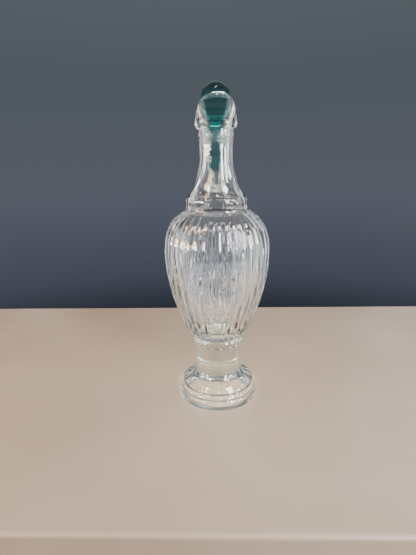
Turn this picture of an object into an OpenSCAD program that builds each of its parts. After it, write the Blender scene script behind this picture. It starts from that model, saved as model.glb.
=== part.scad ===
// Footed glass dropper bottle: a ribbed amphora body on a hollow foot, a flared neck,
// a clear dropper insert with a hooded pouring bowl and a drip tube, and a green stopper.
// The hood and its pouring lip face -Y, but for the turn set below. All sizes are in millimetres.

/* [Foot] */
// Radius of the band that stands on the table
foot_r = 41.2; // [38:0.2:46]
// Height of the upright band round the foot
band_h = 9.2; // [7:0.2:11]
// Height of the whole foot with its stem
foot_h = 57.5; // [52:0.5:66]
// Smallest radius of the stem
stem_r = 21.8; // [19:0.2:23]
// Radius of the hollow under the foot
hollow_r = 31; // [28:0.5:35]
// Height of the hollow under the foot
hollow_h = 14; // [10:0.5:26]

/* [Ring under the vessel] */
// Radius of the ring
ring_r = 26.8; // [26:0.2:29]
// Height of the ring
ring_h = 9; // [8:0.5:12]

/* [Vessel] */
// Radius over the rib crests at the widest point
belly_r = 50.2; // [44:0.2:58]
// Height of the vessel
vessel_h = 125; // [110:1:150]
// Height of the widest point above the vessel's lower end
belly_h = 86; // [75:1:95]
// Radius at the lower end
vessel_low_r = 26.6; // [25:0.2:27.6]
// Radius at the upper end, under the collar
vessel_top_r = 30; // [29.4:0.2:33]
// Number of ribs, a multiple of four
rib_count = 36; // [24:4:40]
// Depth of the valleys between the ribs
rib_depth = 1.5; // [0.5:0.1:2]
// Wall thickness at the widest point, from the rib crests
wall = 4.2; // [3.5:0.1:6]
// Height of the inner floor above the vessel's lower end
floor_h = 4; // [3:0.5:8]

/* [Neck] */
// Radius of the collar on the vessel's shoulder
collar_r = 29; // [28:0.2:30]
// Height of the collar
collar_h = 12.5; // [10:0.5:16]
// Height of the neck with its collar
neck_h = 70; // [66:0.5:75]
// Smallest outer radius of the neck
throat_r = 14.6; // [14:0.1:16]
// Radius of the raised ring below the mouth
lip_ring_r = 16.2; // [16:0.1:17]

/* [Dropper] */
// Radius of the ground plug at the bottle's mouth
socket_r = 10.2; // [9.5:0.1:10.5]
// Length of the ground plug
socket_h = 24; // [20:0.5:26]
// Radius of the bowl at its widest
bowl_r = 18.9; // [18:0.1:20]
// Length of the hood from the bowl's centre to its tip
hood_l = 29.5; // [27:0.5:32]
// Angle at which the hood leans forward
hood_lean = 17; // [10:1:20]
// Slope of the bowl's open mouth
mouth_slope = 29; // [20:1:35]
// Angle at which the hood is turned from the front, about the bottle's axis
hood_turn = 8; // [-45:1:45]
// Outer radius of the drip tube
tube_r = 7.5; // [7:0.1:8]
// Length of the drip tube below the ground plug
tube_h = 31.5; // [25:0.5:38]
// Radius of the outlet at the tube's end
outlet_r = 1.3; // [0.8:0.1:2]

/* [Stopper] */
// Radius of the round head
head_r = 12.8; // [11.5:0.1:13]
// Height of the head's top above the bottle's mouth
head_top = 38.5; // [36:0.1:42]
// Radius of the plug where it enters the bowl's floor
plug_r = 7.1; // [6.8:0.1:7.4]
// Angle at which the drip groove is turned from the front
groove_turn = 12; // [-180:1:180]
// Length of the plug
plug_h = 37; // [34:0.5:40]
// Clearance between ground faces, on the radius
ground_gap = 0.06; // [0.03:0.01:0.1]

/* [Hidden] */
$fn = 96;
steps = 14;                       // points along each curve
clear_glass = [0.84, 0.91, 0.90, 0.5];
green_glass = [0.02, 0.36, 0.33, 0.9];

ring_z = foot_h;
vessel_z = ring_z + ring_h;
neck_z = vessel_z + vessel_h;
mouth_z = neck_z + neck_h;
belly_z = vessel_z + belly_h;
floor_z = vessel_z + floor_h;
collar_z = neck_z + collar_h;
throat_z = mouth_z - 18;          // narrowest point of the neck
socket_z = mouth_z - socket_h;
tube_z = socket_z - tube_h;
bowl_z = mouth_z + 3.7;           // centre of the bowl
plug_top_z = mouth_z + 2.2;       // the bowl's floor
plug_z = plug_top_z - plug_h;
head_z = mouth_z + head_top - head_r;
ground_slope = 1 / 28;            // radius lost per millimetre of a ground plug
socket_low_r = socket_r - socket_h * ground_slope;
plug_low_r = plug_r - plug_h * ground_slope;

function bezier(p, t) =
    pow(1 - t, 3) * p[0] + 3 * t * pow(1 - t, 2) * p[1] + 3 * t * t * (1 - t) * p[2] + pow(t, 3) * p[3];
function curve(p, n = steps) = [for (i = [0 : n]) bezier(p, i / n)];
function arc(centre, r, from, to, n = 8) =
    [for (i = [0 : n]) let (a = from + (to - from) * i / n) centre + r * [cos(a), sin(a)]];

module turned(points) {
    rotate_extrude()
        polygon(points);
}

// ---- foot: a band and two lower steps, a dome and the stem, with a hollow beneath
module foot() {
    step_h = 4.2;
    step_r = foot_r - 1.6;        // middle step
    top_r = foot_r - 4.6;         // upper step
    dome_z = band_h + 2 * step_h;
    stem_z = dome_z + 11;
    color(clear_glass)
        turned(concat(
            curve([[0, hollow_h], [hollow_r * 0.5, hollow_h],
                   [hollow_r * 0.8, hollow_h * 0.56], [hollow_r, 0]]),
            arc([foot_r - 1.4, 1.4], 1.4, -90, 0, 5),
            arc([foot_r - 1.8, band_h - 1.8], 1.8, 0, 70, 5),
            arc([step_r - 2, band_h + step_h - 2.4], 2, -6, 58, 6),
            arc([top_r - 3, dome_z - 2.8], 3, -4, 52, 6),
            curve([[top_r - 2.4, dome_z], [top_r - 5, dome_z + 4.4],
                   [stem_r + 2.6, dome_z + 4.6], [stem_r + 0.6, stem_z]]),
            curve([[stem_r + 0.6, stem_z], [stem_r - 0.1, stem_z + 6],
                   [stem_r - 0.1, foot_h - 7], [stem_r + 0.8, foot_h]]),
            [[0, foot_h]]));
}

// ---- ring between the stem and the vessel
module stem_ring() {
    color(clear_glass)
        turned(concat(
            [[0, ring_z]],
            curve([[stem_r + 0.8, ring_z], [ring_r - 2.2, ring_z + 0.6],
                   [ring_r - 0.2, ring_z + 1.6], [ring_r, ring_z + 4]]),
            curve([[ring_r, ring_z + 4], [ring_r, ring_z + ring_h - 2],
                   [ring_r - 0.2, ring_z + ring_h - 1], [vessel_low_r - 0.5, vessel_z]]),
            [[0, vessel_z]]));
}

// ---- vessel: an egg-shaped body with upright convex ribs
vessel_low = [[vessel_low_r, vessel_z], [belly_r - 7.4, vessel_z + 25.5],
              [belly_r, belly_z - 25], [belly_r, belly_z]];
vessel_high = [[belly_r, belly_z], [belly_r, belly_z + 19.5],
               [belly_r - 6.6, neck_z - 6], [vessel_top_r, neck_z]];
rings_low = 13;
rings_high = 10;
rings = rings_low + rings_high;
points_per_rib = 4;
around = rib_count * points_per_rib;

function vessel_outline() =
    [for (i = [0 : rings]) i <= rings_low ? bezier(vessel_low, i / rings_low)
                                          : bezier(vessel_high, (i - rings_low) / rings_high)];
// The ribs fade out at both ends of the vessel.
function rib_fade(i) = sqrt(sin(180 * i / rings));
function ribbed_ring(r, z, depth) =
    [for (j = [0 : around - 1])
        let (a = 360 * j / around,
             s = r - depth * (1 - abs(cos(rib_count * a / 2))))
        [s * cos(a), s * sin(a), z]];

module ribbed_body() {
    outline = vessel_outline();
    points = [for (i = [0 : rings])
        each ribbed_ring(outline[i][0], outline[i][1], rib_depth * rib_fade(i))];
    sides = [for (i = [0 : rings - 1], j = [0 : around - 1])
        let (k = (j + 1) % around)
        each [[i * around + j, (i + 1) * around + j, (i + 1) * around + k],
              [i * around + j, (i + 1) * around + k, i * around + k]]];
    low_face = [for (j = [0 : around - 1]) j];
    high_face = [for (j = [around - 1 : -1 : 0]) rings * around + j];
    polyhedron(points, concat(sides, [low_face, high_face]), convexity = 4);
}

module vessel_cavity() {
    inner_r = belly_r - wall;
    top_r = collar_r - 3.5;
    floor_r = 14;
    turned(concat(
        [[0, floor_z]],
        curve([[floor_r - 4, floor_z], [floor_r + 5, floor_z], [floor_r + 9, floor_z + 3],
               [floor_r + 13.5, floor_z + 9]], 6),
        curve([[floor_r + 13.5, floor_z + 9], [inner_r - 8.2, floor_z + 26],
               [inner_r, belly_z - 27], [inner_r, belly_z]]),
        curve([[inner_r, belly_z], [inner_r, belly_z + 19],
               [inner_r - 6.5, neck_z - 9], [top_r, neck_z - 2]]),
        [[top_r, neck_z + 1], [0, neck_z + 1]]));
}

module vessel() {
    color(clear_glass)
        difference() {
            ribbed_body();
            vessel_cavity();
        }
}

// ---- neck: collar, flare, throat, raised ring and mouth, with a ground socket inside
module neck() {
    corner = 3;
    bore_r = socket_r + ground_gap;
    bore_low_r = socket_low_r + ground_gap;
    color(clear_glass)
        turned(concat(
            arc([collar_r - corner, collar_z - corner], corner, 0, 60, 5),
            curve([[collar_r - 1.8, collar_z], [collar_r - 10, collar_z + 8.5],
                   [throat_r, collar_z + 25], [throat_r, throat_z]]),
            curve([[throat_r, throat_z], [throat_r, mouth_z - 13],
                   [throat_r + 0.4, mouth_z - 11], [throat_r + 0.8, mouth_z - 8.6]], 6),
            arc([lip_ring_r - 2.6, mouth_z - 5.6], 2.6, -42, 42, 8),
            [[throat_r + 0.8, mouth_z - 2.8], [throat_r + 0.8, mouth_z - 0.6],
             [throat_r + 0.2, mouth_z], [bore_r, mouth_z], [bore_low_r, socket_z]],
            curve([[bore_low_r, socket_z], [bore_low_r + 0.4, socket_z - 14],
                   [bore_low_r + 7, socket_z - 26], [collar_r - 6, collar_z - 3]]),
            curve([[collar_r - 6, collar_z - 3], [collar_r - 4, collar_z - 6],
                   [collar_r - 3.5, collar_z - 8], [collar_r - 3.5, neck_z]], 6),
            [[collar_r, neck_z]]));
}

// ---- dropper: hooded bowl, ground plug and drip tube in one piece
module hood_shell() {
    outline = concat(
        [[0, -bowl_r]],
        arc([0, 0], bowl_r, -84, 0, 12),
        [for (a = [6 : 6 : 90]) [bowl_r * cos(a), hood_l * sin(a)]]);
    intersection() {
        translate([0, 0, bowl_z])
            rotate([hood_lean, 0, 0])
                turned(outline);
        translate([-2 * bowl_r, -2 * bowl_r, mouth_z])
            cube([4 * bowl_r, 4 * bowl_r, 2 * hood_l]);
    }
}

module bowl_cavity() {
    r = head_r + 0.6;
    turned(concat(
        [[0, plug_top_z - 1], [plug_r + ground_gap, plug_top_z - 1], [plug_r + ground_gap, plug_top_z]],
        curve([[plug_r + 0.9, plug_top_z], [r - 2.4, plug_top_z + 2],
               [r, plug_top_z + 8], [r, plug_top_z + 15]]),
        [[r, mouth_z + 2 * hood_l], [0, mouth_z + 2 * hood_l]]));
}

// Everything above the sloping plane of the open mouth, which is highest at the front.
module mouth_cut() {
    size = 4 * bowl_r;
    translate([0, 0, mouth_z + 20.6])
        rotate([-mouth_slope, 0, 0])
            translate([-size / 2, -size / 2, 0])
                cube([size, size, size]);
}

module dropper_stem() {
    bore_r = plug_r + ground_gap;
    bore_low_r = plug_low_r + ground_gap;
    throat_low_r = bore_low_r - 0.6;
    end_h = 6.5;
    turned(concat(
        [[bore_r, plug_top_z], [bore_low_r, plug_z], [throat_low_r, plug_z - 1.5]],
        arc([throat_low_r - 2, tube_z + end_h + 2], 2, 0, -90, 4),
        [[outlet_r, tube_z + end_h], [outlet_r, tube_z + 0.6], [outlet_r + 0.6, tube_z]],
        arc([tube_r - 2.2, tube_z + 2.2], 2.2, -90, 0, 6),
        [[tube_r, socket_z - 1.4], [socket_low_r - 0.6, socket_z], [socket_low_r, socket_z + 0.6],
         [socket_r, mouth_z], [socket_r, plug_top_z]]));
}

module dropper() {
    color(clear_glass)
        rotate([0, 0, hood_turn])
            union() {
                difference() {
                    hood_shell();
                    bowl_cavity();
                    mouth_cut();
                    translate([0, 0, mouth_z - 1])
                        cylinder(r = socket_r, h = plug_top_z - mouth_z + 1);
                }
                dropper_stem();
            }
}

// ---- stopper: round head drawn down into a ground plug with a drip groove
module stopper() {
    band_z = plug_top_z - 16.4;
    groove_w = 1.8;
    groove_d = 1.1;
    color(green_glass)
        difference() {
            turned(concat(
                [[0, plug_z]],
                arc([plug_low_r - 0.8, plug_z + 0.8], 0.8, -90, 0, 3),
                [[plug_r - (plug_top_z - band_z + 0.8) * ground_slope, band_z - 0.8],
                 [plug_r - (plug_top_z - band_z) * ground_slope - 0.6, band_z],
                 [plug_r - (plug_top_z - band_z - 0.8) * ground_slope, band_z + 0.8],
                 [plug_r, plug_top_z]],
                curve([[plug_r + 0.2, plug_top_z + 1], [head_r - 3.4, plug_top_z + 4],
                       [head_r, head_z - 9], [head_r, head_z - 1]]),
                arc([0, head_z], head_r, 0, 90, 16)));
            rotate([0, 0, groove_turn])
                translate([-groove_w / 2, -plug_r - 1, plug_z - 1])
                    cube([groove_w, 1 + groove_d, plug_top_z - 3 - plug_z]);
        }
}

foot();
stem_ring();
vessel();
neck();
dropper();
stopper();
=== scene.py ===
import math

import bpy
from mathutils import Matrix, Vector, noise


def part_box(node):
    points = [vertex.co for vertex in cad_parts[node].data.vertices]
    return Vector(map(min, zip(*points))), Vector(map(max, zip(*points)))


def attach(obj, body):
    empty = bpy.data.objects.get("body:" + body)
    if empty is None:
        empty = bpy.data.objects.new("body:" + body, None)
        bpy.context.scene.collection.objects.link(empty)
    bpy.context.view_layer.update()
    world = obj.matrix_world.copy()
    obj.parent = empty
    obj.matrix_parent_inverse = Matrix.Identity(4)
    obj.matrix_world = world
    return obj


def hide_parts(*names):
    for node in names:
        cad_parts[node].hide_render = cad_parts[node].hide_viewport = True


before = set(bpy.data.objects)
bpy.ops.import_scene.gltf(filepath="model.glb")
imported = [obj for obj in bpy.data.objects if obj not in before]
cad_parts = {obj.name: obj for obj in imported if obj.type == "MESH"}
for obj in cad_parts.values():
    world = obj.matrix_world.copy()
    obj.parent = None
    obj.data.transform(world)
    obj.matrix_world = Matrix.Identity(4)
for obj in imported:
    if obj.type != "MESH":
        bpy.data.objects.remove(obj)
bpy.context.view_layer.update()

# A footed glass dropper bottle on a pale tabletop: a ribbed clear bottle, a clear hooded
# dropper insert and a green stopper. Outlines are in millimetres, in the frame's axes, with
# the hood and the camera on the -Y side; MM turns them into metres.
MM = 0.001


# ---- sizes, in millimetres
def corner(node, end):
    """A corner of a CAD node's box in millimetres: end 0 is the lowest, 1 the highest."""
    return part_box(node)[end] / MM


foot_r = corner("foot", 1).x
foot_h = corner("foot", 1).z
ring_r = corner("stem_ring", 1).x
vessel_z = corner("vessel", 0).z
belly_r = corner("vessel", 1).x
neck_z = corner("vessel", 1).z
collar_r = corner("neck", 1).x
mouth_z = corner("neck", 1).z
tube_z = corner("dropper", 0).z
head_r = corner("stopper", 1).x
plug_z = corner("stopper", 0).z
top_z = corner("stopper", 1).z

band_h = 9.2                # foot: upright band, and two steps above it
step_h = 4.2
hollow_r = 31
hollow_h = 14
stem_r = 21.8
vessel_low_r = 26.6
vessel_top_r = 30
belly_z = vessel_z + 86
floor_z = vessel_z + 4
floor_r = 14
wall = 4.2
rib_count = 36
rib_depth = 1.5
collar_z = neck_z + 12.5
throat_r = 14.6
throat_z = mouth_z - 18
lip_ring_r = 16.2
socket_r = 10.2             # the dropper's ground plug in the bottle's mouth
socket_z = mouth_z - 24
ground_slope = 1 / 28
matt_z = mouth_z - 11.5     # the ground joint in the neck is matt above this
gap = 0.06
socket_low_r = socket_r - 24 * ground_slope
bowl_r = 18.9
bowl_z = mouth_z + 3.7
hood_l = 29.5
hood_lean = math.radians(17)
mouth_slope = math.tan(math.radians(29))
mouth_mid_z = mouth_z + 20.6
hood_turn = math.radians(8)
tube_r = 7.5
outlet_r = 1.3
plug_r = 7.1
plug_top_z = plug_z + 37
plug_low_r = plug_r - 37 * ground_slope
head_z = top_z - head_r
groove_turn = math.radians(12)
seam_turn = math.radians(4)
FRONT = -math.pi / 2
LIP_STEPS = 8               # steps across the hood's lip
LIP_MATT = 2.5              # how matt the lip and the tube's tip are; a ground joint is 1
TIP_MATT = 1.5


# ---- outlines
def curve(p0, p1, p2, p3, n=14):
    """Points along a cubic Bezier curve, the first one left out."""
    points = []
    for i in range(1, n + 1):
        t = i / n
        a, b, c, d = (1 - t) ** 3, 3 * t * (1 - t) ** 2, 3 * t * t * (1 - t), t ** 3
        points.append((a * p0[0] + b * p1[0] + c * p2[0] + d * p3[0],
                       a * p0[1] + b * p1[1] + c * p2[1] + d * p3[1]))
    return points


def arc(centre, r, start, end, n=6):
    """Points along an arc, with its angles in degrees."""
    angles = [math.radians(start + (end - start) * i / n) for i in range(n + 1)]
    return [(centre[0] + r * math.cos(a), centre[1] + r * math.sin(a)) for a in angles]


def line(p, q, n):
    """n points on the way from p to q, both left out."""
    return [(p[0] + (q[0] - p[0]) * i / (n + 1), p[1] + (q[1] - p[1]) * i / (n + 1))
            for i in range(1, n + 1)]


def softened(points, radius, turn=0.35):
    """The outline with each corner that turns by more than `turn` radians rounded off."""
    out = [points[0]]
    for before, here, after in zip(points, points[1:], points[2:]):
        a, b, c = Vector(before), Vector(here), Vector(after)
        u, v = a - b, c - b
        if u.length < 1e-6 or v.length < 1e-6 or math.pi - u.angle(v) < turn:
            out.append(here)
            continue
        p = b + u.normalized() * min(radius, 0.45 * u.length)
        q = b + v.normalized() * min(radius, 0.45 * v.length)
        for t in (0, 0.25, 0.5, 0.75, 1):
            s = p * (1 - t) ** 2 + b * 2 * t * (1 - t) + q * t * t
            out.append((s.x, s.y))
    return out + [points[-1]]


# ---- meshes
def surface(name, rings, closed):
    """A mesh through rings of points (mm). A closed one joins the last ring to the first;
    an open one ends in a point on the axis at each end."""
    around = len(rings[0])
    points = [Vector(p) * MM for ring in rings for p in ring]
    faces = []
    count = len(rings)
    for i in range(count if closed else count - 1):
        low, high = i * around, (i + 1) % count * around
        for j in range(around):
            k = (j + 1) % around
            faces.append((low + j, low + k, high + k, high + j))
    if not closed:
        for first, ring in ((0, rings[0]), ((count - 1) * around, rings[-1])):
            pole = len(points)
            points.append(Vector((0, 0, ring[0][2])) * MM)
            for j in range(around):
                k = (j + 1) % around
                pair = (first + k, first + j) if first == 0 else (first + j, first + k)
                faces.append((pole,) + pair)
    mesh = bpy.data.meshes.new(name)
    mesh.from_pydata(points, [], faces)
    mesh.shade_smooth()
    obj = bpy.data.objects.new(name, mesh)
    bpy.context.scene.collection.objects.link(obj)
    return obj


def turned(sections, around):
    """Rings of points from sections of (outline, shape), where shape(r, z, angle) gives the
    radius at an angle."""
    angles = [2 * math.pi * j / around for j in range(around)]
    rings = []
    for outline, shape in sections:
        for r, z in outline:
            ring = []
            for a in angles:
                s = shape(r, z, a)
                ring.append((s * math.cos(a), s * math.sin(a), z))
            rings.append(ring)
    return rings


def piece(obj, body, nodes, material):
    """Gives the object its material and its place in the frame."""
    obj.data.materials.append(material)
    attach(obj, body)
    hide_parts(*nodes)


# ---- bottle
def plain(r, z, angle):
    return r


def seamed(r, z, angle):
    """A faint mould seam stands up at the front and at the back."""
    width, height = math.radians(1.3), 0.16
    off = abs((angle - FRONT - seam_turn + math.pi / 2) % math.pi - math.pi / 2)
    return r + height * max(0, 1 - off / width) ** 2


def ribbed(r, z, angle):
    """Upright convex ribs, which fade out at both ends of the vessel."""
    t = min(max((z - vessel_z) / (neck_z - vessel_z), 0), 1)
    fade = max(math.sin(math.pi * t), 0) ** 0.4
    crest = math.sqrt((math.cos(rib_count * angle / 2) ** 2 + 0.01) / 1.01)
    return r - rib_depth * fade * (1 - crest)


def wavy(r, z, angle):
    """The inside of the bottle is uneven: broad waves and upright streaks, both calmer in
    the neck, and chill marks near the floor."""
    p = Vector((math.cos(angle) * r, math.sin(angle) * r, z))
    broad = 0.4 * noise.noise(p / 17)
    streak = 0.26 * noise.noise(Vector((p.x / 2.4, p.y / 2.4, p.z / 45)))
    near_floor = max(0, 1 - (z - floor_z) / 14)
    fine = (0.05 + 0.5 * near_floor) * noise.noise(p / 4.5 + Vector((3, 5, 7)))
    calm = 0.45 if z > collar_z else 1
    near_axis = min(1, r / 6)
    return r + near_axis * (calm * (broad + streak) + fine)


def hollow_outline():
    return [(0.6, hollow_h)] + curve((0.6, hollow_h), (hollow_r * 0.5, hollow_h),
                                     (hollow_r * 0.8, hollow_h * 0.56), (hollow_r, 0.5), 12)


def foot_outline():
    step_r, top_r = foot_r - 1.6, foot_r - 4.6
    dome_z = band_h + 2 * step_h
    stem_z = dome_z + 11
    points = [(hollow_r + 1.4, 0)] + line((hollow_r + 1.4, 0), (foot_r - 1.4, 0), 2)
    points += arc((foot_r - 1.4, 1.4), 1.4, -90, 0, 5)
    points += line((foot_r, 1.4), (foot_r, band_h - 1.8), 4)
    points += arc((foot_r - 1.8, band_h - 1.8), 1.8, 0, 74, 6)
    points += [(step_r - 0.3, band_h - 0.1)]
    points += arc((step_r - 2, band_h + step_h - 2.4), 2, -6, 62, 6)
    points += [(top_r - 0.2, band_h + step_h - 0.5)]
    points += arc((top_r - 3, dome_z - 2.8), 3, -4, 56, 6)
    points += curve((top_r - 2.4, dome_z), (top_r - 5, dome_z + 4.4),
                    (stem_r + 2.6, dome_z + 4.6), (stem_r + 0.6, stem_z), 12)
    points += curve((stem_r + 0.6, stem_z), (stem_r - 0.1, stem_z + 6),
                    (stem_r - 0.1, foot_h - 7), (stem_r + 0.8, foot_h), 9)
    points += curve((stem_r + 0.8, foot_h), (ring_r - 1.2, foot_h + 0.3),
                    (ring_r, foot_h + 1.4), (ring_r, foot_h + 4), 8)
    points += curve((ring_r, foot_h + 4), (ring_r, vessel_z - 2.6),
                    (ring_r - 0.8, vessel_z - 1.2), (ring_r - 2.2, vessel_z - 0.4), 8)
    return softened(points, 0.9)


def vessel_outline():
    low = curve((vessel_low_r, vessel_z), (belly_r - 7.4, vessel_z + 25.5),
                (belly_r, belly_z - 25), (belly_r, belly_z), 34)
    high = curve((belly_r, belly_z), (belly_r, belly_z + 19.5),
                 (belly_r - 6.6, neck_z - 6), (vessel_top_r, neck_z), 22)
    return [(vessel_low_r - 1.2, vessel_z + 0.2)] + low + high


def neck_outline():
    bore_r, bore_low_r = socket_r + gap, socket_low_r + gap
    points = [(collar_r, neck_z + 0.4)] + line((collar_r, neck_z), (collar_r, collar_z - 3), 4)
    points += arc((collar_r - 3, collar_z - 3), 3, 0, 60, 5)
    points += curve((collar_r - 1.8, collar_z), (collar_r - 10, collar_z + 8.5),
                    (throat_r, collar_z + 25), (throat_r, throat_z), 17)
    points += curve((throat_r, throat_z), (throat_r, mouth_z - 13),
                    (throat_r + 0.4, mouth_z - 11), (throat_r + 0.8, mouth_z - 8.6), 8)
    points += arc((lip_ring_r - 2.6, mouth_z - 5.6), 2.6, -42, 42, 8)
    points += [(throat_r + 0.8, mouth_z - 2.8), (throat_r + 0.8, mouth_z - 0.6),
               (throat_r + 0.2, mouth_z), (bore_r, mouth_z)]
    points += line((bore_r, mouth_z), (bore_low_r, socket_z), 6) + [(bore_low_r, socket_z)]
    return softened(points, 0.5)


def inside_outline():
    bore_low_r = socket_low_r + gap
    top_r, inner_r = collar_r - 3.5, belly_r - wall
    points = curve((bore_low_r, socket_z), (bore_low_r + 0.4, socket_z - 14),
                   (bore_low_r + 7, socket_z - 26), (collar_r - 6, collar_z - 3), 15)
    points += curve((collar_r - 6, collar_z - 3), (collar_r - 4, collar_z - 6),
                    (top_r, collar_z - 8), (top_r, neck_z), 8)
    points += curve((top_r, neck_z - 2), (inner_r - 6.5, neck_z - 9),
                    (inner_r, belly_z + 19), (inner_r, belly_z), 17)
    points += curve((inner_r, belly_z), (inner_r, belly_z - 27),
                    (inner_r - 8.2, floor_z + 26), (floor_r + 13.5, floor_z + 9), 32)
    points += curve((floor_r + 13.5, floor_z + 9), (floor_r + 9, floor_z + 3),
                    (floor_r + 5, floor_z), (floor_r - 4, floor_z), 10)
    return points + line((floor_r - 4, floor_z), (0.6, floor_z), 4) + [(0.6, floor_z)]


def mark(obj, name, low, high, inner, outer, strength=1.0):
    """Raises a point attribute between two heights and two radii (mm); it is 0 elsewhere."""
    attributes = obj.data.attributes
    marks = attributes.get(name) or attributes.new(name, "FLOAT", "POINT")
    for vertex, point in zip(obj.data.vertices, marks.data):
        r, z = math.hypot(vertex.co.x, vertex.co.y) / MM, vertex.co.z / MM
        if low < z < high and inner < r < outer:
            point.value = strength


def make_bottle(material):
    rings = turned([(hollow_outline(), plain), (foot_outline(), seamed),
                    (vessel_outline(), ribbed), (neck_outline(), plain),
                    (inside_outline(), wavy)], rib_count * 8)
    obj = surface("bottle_glass", rings, closed=False)
    piece(obj, "bottle", ["foot", "stem_ring", "vessel", "neck"], material)
    mark(obj, "ground", matt_z, mouth_z - 0.8, socket_low_r - 1, socket_r + 0.4)


# ---- dropper insert
def hood_radius(angle, z):
    """Radius at an angle and height of the hood: an egg about an axis that leans forward."""
    across, along = -math.sin(hood_lean) * math.sin(angle), math.cos(hood_lean)
    h = z - bowl_z
    for stretch in (1 - (bowl_r / hood_l) ** 2, 0):
        a = 1 - stretch * across ** 2
        b = stretch * across * h * along
        c = h * h * (1 - stretch * along ** 2) - bowl_r ** 2
        r = (b + math.sqrt(max(b * b - a * c, 0))) / a
        if (r * across + h * along > 0) == (stretch > 0):
            break
    return r


def lip_height(angle, r):
    """Height of the sloping mouth, which is highest at the front."""
    return mouth_mid_z - r * math.sin(angle) * mouth_slope


def lip_corner(angle):
    """Where the hood's outside meets the sloping mouth."""
    z = mouth_mid_z
    for _ in range(40):
        z = 0.5 * (z + lip_height(angle, hood_radius(angle, z)))
    return hood_radius(angle, z), z


def bore_outline():
    """The dropper's inside, from the outlet up to the bowl's floor."""
    bore_r, bore_low_r = plug_r + gap, plug_low_r + gap
    drip_r, drip_z = bore_low_r - 0.6, tube_z + 6.5
    points = [(outlet_r + 0.6, tube_z), (outlet_r, tube_z + 0.6)]
    points += line((outlet_r, tube_z + 0.6), (outlet_r, drip_z), 2) + [(outlet_r, drip_z)]
    points += arc((drip_r - 2, drip_z + 2), 2, -90, 0, 5)
    points += line((drip_r, drip_z + 2), (drip_r, plug_z - 1.5), 5)
    points += [(drip_r, plug_z - 1.5), (bore_low_r, plug_z)]
    return points + line((bore_low_r, plug_z), (bore_r, plug_top_z), 12) + [(bore_r, plug_top_z)]


def lip_points(inner, outer, n):
    """A rounded, fire-polished lip from the inner wall's top to the outer one's."""
    points = []
    for i in range(n + 1):
        t = i / n
        rise = 0.7 * math.sqrt(max(1 - (2 * t - 1) ** 2, 0)) - 0.8
        points.append((inner[0] + (outer[0] - inner[0]) * t,
                       inner[1] + (outer[1] - inner[1]) * t + rise))
    return points


def hood_outline(angle, rim_z):
    """The hood's outside at an angle, from below its rim down to the bottle's mouth."""
    start_z, end_z = rim_z - 0.8, bowl_z - 0.6
    heights = [start_z + (end_z - start_z) * i / 26 for i in range(27)]
    points = [(hood_radius(angle, z), z) for z in heights]
    under_r = hood_radius(angle, end_z)
    return points + curve((under_r, end_z), (under_r - 0.2, mouth_z + 1.2),
                          (under_r - 1.6, mouth_z + 0.3), (under_r - 3.6, mouth_z + 0.02), 7)


def stem_outline():
    """The dropper's outside from the bottle's mouth down: the ground plug and the tube."""
    points = [(socket_r + 0.5, mouth_z + 0.02), (socket_r, mouth_z - 0.6)]
    points += line((socket_r, mouth_z - 0.6), (socket_low_r, socket_z + 0.6), 12)
    points += [(socket_low_r, socket_z + 0.6), (socket_low_r - 0.6, socket_z),
               (tube_r, socket_z - 1.4)]
    points += line((tube_r, socket_z - 1.4), (tube_r, tube_z + 2.2), 8)
    points += arc((tube_r - 2.2, tube_z + 2.2), 2.2, 0, -90, 6)
    return points + line((tube_r - 2.2, tube_z), (outlet_r + 0.6, tube_z), 2)


def dropper_outline(angle):
    """The dropper's closed section at one angle, from the outlet up the bore, over the lip
    and down the outside, and the index at which its lip starts. The lip is chamfered
    inwards at the front."""
    cup_r = head_r + 0.6
    out_r, out_z = lip_corner(angle)
    in_z = lip_height(angle, cup_r) - 4.2 * max(-math.sin(angle), 0)
    points = bore_outline()
    points += curve((plug_r + 0.9, plug_top_z), (cup_r - 2.4, plug_top_z + 2),
                    (cup_r, plug_top_z + 8), (cup_r, plug_top_z + 15), 12)
    points += line((cup_r, plug_top_z + 15), (cup_r, in_z - 0.8), 8)
    lip_at = len(points)
    points += lip_points((cup_r, in_z), (out_r, out_z), LIP_STEPS)
    return points + hood_outline(angle, out_z) + stem_outline(), lip_at


def make_dropper(material):
    around = 160
    angles = [2 * math.pi * j / around for j in range(around)]
    outlines = [dropper_outline(a)[0] for a in angles]
    lip_at = dropper_outline(0)[1]
    rings = []
    for i in range(len(outlines[0])):
        rings.append([(o[i][0] * math.cos(a + hood_turn), o[i][0] * math.sin(a + hood_turn),
                       o[i][1]) for a, o in zip(angles, outlines)])
    obj = surface("dropper_glass", rings[::-1], closed=True)
    piece(obj, "dropper", ["dropper"], material)
    mark(obj, "ground", matt_z, mouth_z - 0.8, socket_low_r - 0.5, socket_r + 0.2)
    mark(obj, "ground", tube_z - 1, tube_z + 6.8, 0, tube_r + 1, TIP_MATT)
    mark(obj, "wet", plug_z - 0.4, plug_top_z - 1, plug_low_r - 0.5, plug_r + 0.4)
    last = len(rings) - 1 - lip_at      # the mesh's rings run the other way round
    ground = obj.data.attributes["ground"].data
    for i in range((last - LIP_STEPS) * around, (last + 1) * around):
        ground[i].value = LIP_MATT


# ---- stopper
def grooved(r, z, angle):
    """A narrow upright drip groove in the side of the plug."""
    if z > plug_top_z - 3 or r < 3:
        return r
    aside = abs((angle - FRONT - groove_turn + math.pi) % (2 * math.pi) - math.pi) * r
    return r - 1.1 * min(max((1.15 - aside) / 0.5, 0), 1)


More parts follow.
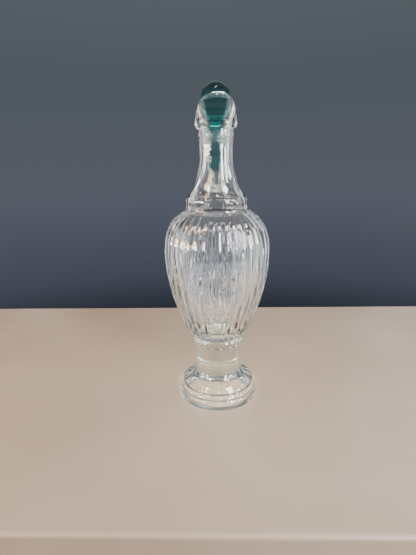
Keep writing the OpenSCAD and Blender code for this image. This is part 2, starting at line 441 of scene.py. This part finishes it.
def stopper_outline():
    band_z = plug_top_z - 16.4

    def plug_at(z):
        return plug_r - (plug_top_z - z) * ground_slope
    points = [(0.5, plug_z)] + line((0.5, plug_z), (plug_low_r - 0.8, plug_z), 2)
    points += arc((plug_low_r - 0.8, plug_z + 0.8), 0.8, -90, 0, 4)
    points += line((plug_low_r, plug_z + 0.8), (plug_at(band_z - 1), band_z - 1), 14)
    points += [(plug_at(band_z - 0.9), band_z - 0.9), (plug_at(band_z) - 0.6, band_z),
               (plug_at(band_z + 0.9), band_z + 0.9)]
    points += line((plug_at(band_z + 1), band_z + 1), (plug_r, plug_top_z), 12)
    points += [(plug_r, plug_top_z)]
    points += curve((plug_r + 0.2, plug_top_z + 1), (head_r - 3.4, plug_top_z + 4),
                    (head_r, head_z - 9), (head_r, head_z - 1), 18)
    points += arc((0, head_z), head_r, 0, 88, 24)
    return softened(points, 0.6)


def make_stopper(material):
    rings = turned([(stopper_outline(), grooved)], 200)
    obj = surface("stopper_glass", rings, closed=False)
    piece(obj, "stopper", ["stopper"], material)
    mark(obj, "wet", plug_z - 1, plug_top_z - 1, 3, plug_r + 0.2)


# ---- materials
GLASS_IOR = 1.52
GROUND_ROUGHNESS = 0.14
CLEAR_TINT = (0.985, 0.995, 0.99, 1)
TABLE_DARK = (0.225, 0.170, 0.125, 1)
TABLE_LIGHT = (0.28, 0.218, 0.165, 1)


def new_material(name):
    material = bpy.data.materials.new(name)
    material.use_nodes = True
    nodes = material.node_tree.nodes
    nodes.clear()
    return material, nodes, material.node_tree.links


def feed(links, value, socket):
    """Sets a socket to a number or a colour, or links another socket to it."""
    if isinstance(value, bpy.types.NodeSocket):
        links.new(value, socket)
    else:
        socket.default_value = value


def noise_node(nodes, links, scale, detail=2.0, stretch=(1, 1, 1)):
    """Noise in object coordinates; scale counts per metre."""
    place = nodes.new("ShaderNodeTexCoord")
    mapping = nodes.new("ShaderNodeMapping")
    mapping.inputs["Scale"].default_value = stretch
    texture = nodes.new("ShaderNodeTexNoise")
    texture.inputs["Scale"].default_value = scale
    texture.inputs["Detail"].default_value = detail
    links.new(place.outputs["Object"], mapping.inputs["Vector"])
    links.new(mapping.outputs["Vector"], texture.inputs["Vector"])
    return texture.outputs["Fac"]


def ramp(nodes, links, source, low, high, from_low=0.3, from_high=0.7):
    """A value mapped from from_low..from_high, by default a noise's middle, to low..high."""
    node = nodes.new("ShaderNodeMapRange")
    node.inputs["From Min"].default_value = from_low
    node.inputs["From Max"].default_value = from_high
    node.inputs["To Min"].default_value = low
    node.inputs["To Max"].default_value = high
    links.new(source, node.inputs["Value"])
    return node.outputs["Result"]


def mixed(nodes, links, factor, a, b):
    """A colour mixed from a to b; each is a colour or a socket."""
    node = nodes.new("ShaderNodeMix")
    node.data_type = "RGBA"
    links.new(factor, node.inputs["Factor"])
    for value, name in ((a, "A"), (b, "B")):
        feed(links, value, next(i for i in node.inputs if i.name == name and i.type == "RGBA"))
    return next(o for o in node.outputs if o.type == "RGBA")


def math_node(nodes, links, operation, *values):
    """An operation on values, each of them a number or a socket."""
    node = nodes.new("ShaderNodeMath")
    node.operation = operation
    for value, socket in zip(values, node.inputs):
        feed(links, value, socket)
    return node.outputs["Value"]


def attribute(nodes, name):
    """A point attribute that mark() has raised on parts of a piece."""
    node = nodes.new("ShaderNodeAttribute")
    node.attribute_name = name
    return node.outputs["Fac"]


def bump(nodes, links, height, strength, distance, normal=None):
    node = nodes.new("ShaderNodeBump")
    node.inputs["Distance"].default_value = distance
    feed(links, strength, node.inputs["Strength"])
    links.new(height, node.inputs["Height"])
    if normal:
        links.new(normal, node.inputs["Normal"])
    return node.outputs["Normal"]


def glass_shader(nodes, links, tint):
    """Glass with faint waves and smears; its "ground" parts are matt and grainy."""
    shader = nodes.new("ShaderNodeBsdfPrincipled")
    shader.inputs["Base Color"].default_value = tint
    shader.inputs["Transmission Weight"].default_value = 1.0
    shader.inputs["IOR"].default_value = GLASS_IOR
    ground = attribute(nodes, "ground")
    smears = ramp(nodes, links, noise_node(nodes, links, 45, 3, (1, 1, 0.4)), 0, 0.03, 0.45, 0.75)
    rough = math_node(nodes, links, "MULTIPLY_ADD", ground, GROUND_ROUGHNESS, smears)
    links.new(rough, shader.inputs["Roughness"])
    waves = bump(nodes, links, noise_node(nodes, links, 70, 1.5), 0.25, 0.00012)
    grain = bump(nodes, links, noise_node(nodes, links, 900, 2), ground, 0.0006, waves)
    links.new(grain, shader.inputs["Normal"])
    return shader


def straight_rays(nodes, links, has_joint):
    """1 for the rays that go straight on through the glass: those to the lamps and, in the
    "wet" parts of a ground joint, those that have come through two or more faces of glass,
    as they do where ground faces are in contact."""
    path = nodes.new("ShaderNodeLightPath")
    if not has_joint:
        return path.outputs["Is Shadow Ray"]
    deep = math_node(nodes, links, "GREATER_THAN", path.outputs["Transmission Depth"], 1.5)
    joined = math_node(nodes, links, "MULTIPLY", deep, attribute(nodes, "wet"))
    return math_node(nodes, links, "MAXIMUM", path.outputs["Is Shadow Ray"], joined)


def glass(name, inside_colour, inside_density, tint, shade, has_joint=False):
    """Glass that absorbs light on the way through it; tint is its surface's colour, and
    shade that of the rays that go straight on."""
    material, nodes, links = new_material(name)
    straight = nodes.new("ShaderNodeBsdfTransparent")
    straight.inputs["Color"].default_value = shade
    mix = nodes.new("ShaderNodeMixShader")
    links.new(straight_rays(nodes, links, has_joint), mix.inputs["Fac"])
    links.new(glass_shader(nodes, links, tint).outputs["BSDF"], mix.inputs[1])
    links.new(straight.outputs["BSDF"], mix.inputs[2])
    inside = nodes.new("ShaderNodeVolumeAbsorption")
    inside.inputs["Color"].default_value = inside_colour
    inside.inputs["Density"].default_value = inside_density
    output = nodes.new("ShaderNodeOutputMaterial")
    links.new(mix.outputs["Shader"], output.inputs["Surface"])
    links.new(inside.outputs["Volume"], output.inputs["Volume"])
    return material


def clear_glass():
    return glass("clear_glass", (0.50, 0.80, 0.78, 1), 5, CLEAR_TINT, (0.80, 0.79, 0.74, 1))


def insert_glass():
    return glass("insert_glass", (0.55, 0.80, 0.60, 1), 10, CLEAR_TINT,
                 (0.93, 0.97, 0.96, 1), has_joint=True)


def green_glass():
    return glass("green_glass", (0.02, 0.912, 0.908, 1), 420, (0.9, 1, 0.99, 1),
                 (0.66, 0.95, 0.96, 1), has_joint=True)


def table_paint():
    """Matt beige paint with brush marks and faint clouding."""
    material, nodes, links = new_material("table_paint")
    shader = nodes.new("ShaderNodeBsdfPrincipled")
    shader.inputs["Specular IOR Level"].default_value = 0.35
    cloud = noise_node(nodes, links, 5, 4)
    brush = noise_node(nodes, links, 60, 4, (0.12, 1, 1))
    colour = mixed(nodes, links, ramp(nodes, links, cloud, 0.1, 0.9), TABLE_DARK, TABLE_LIGHT)
    links.new(colour, shader.inputs["Base Color"])
    links.new(ramp(nodes, links, brush, 0.42, 0.6), shader.inputs["Roughness"])
    links.new(bump(nodes, links, brush, 0.3, 0.0003), shader.inputs["Normal"])
    output = nodes.new("ShaderNodeOutputMaterial")
    links.new(shader.outputs["BSDF"], output.inputs["Surface"])
    return material


# ---- stage, lights and camera
TABLE_HALF_X = 0.38
TABLE_FRONT = -0.169
TABLE_BACK = 0.238
TABLE_THICK = 0.03
TABLE_TOP = -0.0002

WALL_BASE = (0.026, 0.031, 0.044, 1)
WALL_LOW = (0.028, 0.033, 0.046, 1)
WALL_LIT = (0.060, 0.069, 0.094, 1)
WALL_MIDDLE = (0.098, 0.108, 0.138, 1)
WALL_HIGH = (0.085, 0.102, 0.118, 1)
WALL_TOP = (0.11, 0.14, 0.16, 1)
ROOM_FRONT = (0.45, 0.46, 0.52, 1)
ROOM_FLOOR = (0.06, 0.06, 0.066, 1)
CEILING = (0.4, 0.4, 0.4, 1)

WHITE = (1.0, 0.99, 0.98)
CREAM = (1.0, 0.95, 0.86)
LILAC = (0.90, 0.91, 1.0)
SKY = (0.86, 0.91, 1.0)
WARM = (1.0, 0.56, 0.22)


def make_table():
    mesh = bpy.data.meshes.new("table")
    x, front, back, low = TABLE_HALF_X, TABLE_FRONT, TABLE_BACK, -TABLE_THICK
    points = [(sx * x, y, z) for z in (low, TABLE_TOP) for y in (front, back) for sx in (-1, 1)]
    mesh.from_pydata(points, [], [(0, 2, 3, 1), (4, 5, 7, 6), (0, 1, 5, 4), (2, 6, 7, 3),
                                  (0, 4, 6, 2), (1, 3, 7, 5)])
    obj = bpy.data.objects.new("table", mesh)
    bpy.context.scene.collection.objects.link(obj)
    edge = obj.modifiers.new("rounded", "BEVEL")
    edge.width, edge.segments = 0.003, 3
    mesh.materials.append(table_paint())


def make_room():
    """A slate wall behind the table, darkest at the table's edge, in a room with pale ends,
    a dark floor and a pale ceiling."""
    world = bpy.data.worlds.new("room")
    bpy.context.scene.world = world
    world.use_nodes = True
    nodes, links = world.node_tree.nodes, world.node_tree.links
    place = nodes.new("ShaderNodeTexCoord")
    split = nodes.new("ShaderNodeSeparateXYZ")
    links.new(place.outputs["Generated"], split.inputs["Vector"])
    shades = nodes.new("ShaderNodeValToRGB")
    stops = shades.color_ramp.elements
    stops.remove(stops[0])
    stops[0].position, stops[0].color = 0, WALL_BASE
    for position, colour in ((0.14, WALL_LOW), (0.22, WALL_LIT), (0.42, WALL_MIDDLE),
                             (0.70, WALL_HIGH), (1, WALL_TOP)):
        stops.new(position).color = colour
    links.new(ramp(nodes, links, split.outputs["Z"], 0, 1, -0.5, 0.5), shades.inputs["Fac"])
    low = ramp(nodes, links, split.outputs["Z"], 0, 1, -0.25, -0.05)
    front = mixed(nodes, links, low, ROOM_FLOOR, ROOM_FRONT)
    back = ramp(nodes, links, split.outputs["Y"], 0, 1, -0.2, 0.6)
    around = mixed(nodes, links, back, front, shades.outputs["Color"])
    above = ramp(nodes, links, split.outputs["Z"], 0, 1, 0.40, 0.62)
    colour = mixed(nodes, links, above, around, CEILING)
    links.new(colour, nodes["Background"].inputs["Color"])


def window(name, azimuth, elevation, width, height, radiance, colour, distance=0.9):
    """A soft rectangular light that faces the bottle. Azimuth 0 is the camera's side, and
    positive is to its right; both angles are in degrees."""
    a, e = math.radians(azimuth), math.radians(elevation)
    target = Vector((0, 0, 0.13))
    away = Vector((math.sin(a) * math.cos(e), -math.cos(a) * math.cos(e), math.sin(e)))
    data = bpy.data.lights.new(name, "AREA")
    data.shape = "RECTANGLE"
    data.size, data.size_y = width, height
    data.energy = radiance * math.pi * width * height
    data.color = colour
    obj = bpy.data.objects.new(name, data)
    obj.location = target + away * distance
    obj.rotation_mode = "QUATERNION"
    obj.rotation_quaternion = (-away).to_track_quat("-Z", "Y")
    obj.visible_camera = False
    bpy.context.scene.collection.objects.link(obj)
    return obj


def shine_on(lamps, *names):
    """These lamps light only the pieces named."""
    lit = bpy.data.collections.new("lit_by_" + lamps[0].name)
    for name in names:
        lit.objects.link(bpy.data.objects[name])
    for lamp in lamps:
        lamp.light_linking.receiver_collection = lit


def make_windows():
    """The room's windows and lamps, which the bottle and the table mirror."""
    shine_on([window("window_right_a", 40, 20, 0.16, 0.60, 65, WHITE),
              window("window_right_b", 66, 22, 0.20, 0.50, 45, SKY),
              window("window_left", -66, 4.5, 0.66, 0.05, 80, WHITE),
              window("lamp_left", -66, 11, 0.62, 0.09, 60, WARM)], "bottle_glass", "table")


def make_sides():
    """Tall, faint panels beside and behind the bottle, which brighten its outline."""
    shine_on([window("side_right", 88, 0, 0.45, 1.0, 1.9, LILAC),
              window("side_left", -88, 0, 0.45, 1.0, 1.8, CREAM),
              window("rim_right", 122, 0, 0.20, 1.0, 2.8, CREAM),
              window("rim_left", -122, 0, 0.20, 1.0, 2.6, CREAM),
              window("edge_right", 143, 0, 0.06, 1.0, 4.0, LILAC),
              window("edge_left", -143, 0, 0.06, 1.0, 3.8, CREAM)],
             "bottle_glass", "dropper_glass", "table")


def make_skylights():
    """High lights: glints on the bottle's shoulder, on the stopper and on the hood's lip."""
    shine_on([window("high_right", 54, 52, 0.26, 0.20, 60, WHITE),
              window("high_left", -48, 50, 0.16, 0.16, 55, CREAM),
              window("high_lamp", -64, 44, 0.16, 0.16, 50, WARM)], "bottle_glass")
    window("skylight", 8, 74, 0.16, 0.16, 20, SKY, 1.1)
    shine_on([window("skylight_back", 170, 58, 0.6, 0.40, 48, CREAM, 1.1)], "dropper_glass")


def strip(azimuth, width, radiance, colour):
    return window("strip_%d" % azimuth, azimuth, elevation=-14, width=width, height=0.24,
                  radiance=radiance, colour=colour, distance=0.48)


def low_strip(azimuth, width, radiance):
    return window("low_strip_%d" % azimuth, azimuth, elevation=-33, width=width, height=0.09,
                  radiance=radiance, colour=LILAC, distance=0.1)


def make_strips():
    """Faint upright strips low behind the bottle, which its ribs draw out into streaks."""
    shine_on([strip(150, 0.018, 2.4, (1.0, 0.96, 0.92)), strip(161, 0.010, 1.8, (0.88, 0.89, 1.0)),
              strip(169, 0.012, 1.5, (0.90, 0.90, 1.0)), strip(176, 0.006, 2.4, (1.0, 1.0, 1.0)),
              strip(185, 0.010, 1.3, (0.90, 0.90, 1.0)), strip(193, 0.008, 2.0, (1.0, 0.98, 0.96)),
              strip(203, 0.016, 2.2, (1.0, 0.95, 0.90))], "bottle_glass")
    shine_on([low_strip(152, 0.004, 1.1), low_strip(166, 0.002, 1.4), low_strip(175, 0.003, 1.0),
              low_strip(183, 0.0015, 1.6), low_strip(192, 0.003, 1.1),
              low_strip(206, 0.004, 1.2)], "bottle_glass")


def make_camera():
    """The camera stands in front, looks down a little and has a slight turn and roll."""
    data = bpy.data.cameras.new("camera")
    data.lens = 24
    data.sensor_width = 36
    obj = bpy.data.objects.new("camera", data)
    bpy.context.scene.collection.objects.link(obj)
    place = (0, -0.3505, 0.2314)
    down, turn, roll = math.radians(16.9), math.radians(1.48), math.radians(0.9)
    obj.matrix_world = (Matrix.Translation(place)
                        @ Matrix.Rotation(turn, 4, "Z")
                        @ Matrix.Rotation(math.pi / 2 - down, 4, "X")
                        @ Matrix.Rotation(-roll, 4, "Z"))
    bpy.context.scene.camera = obj


# ---- the scene
make_camera()
make_table()
make_room()
make_bottle(clear_glass())
make_dropper(insert_glass())
make_stopper(green_glass())
make_windows()
make_sides()
make_skylights()
make_strips()
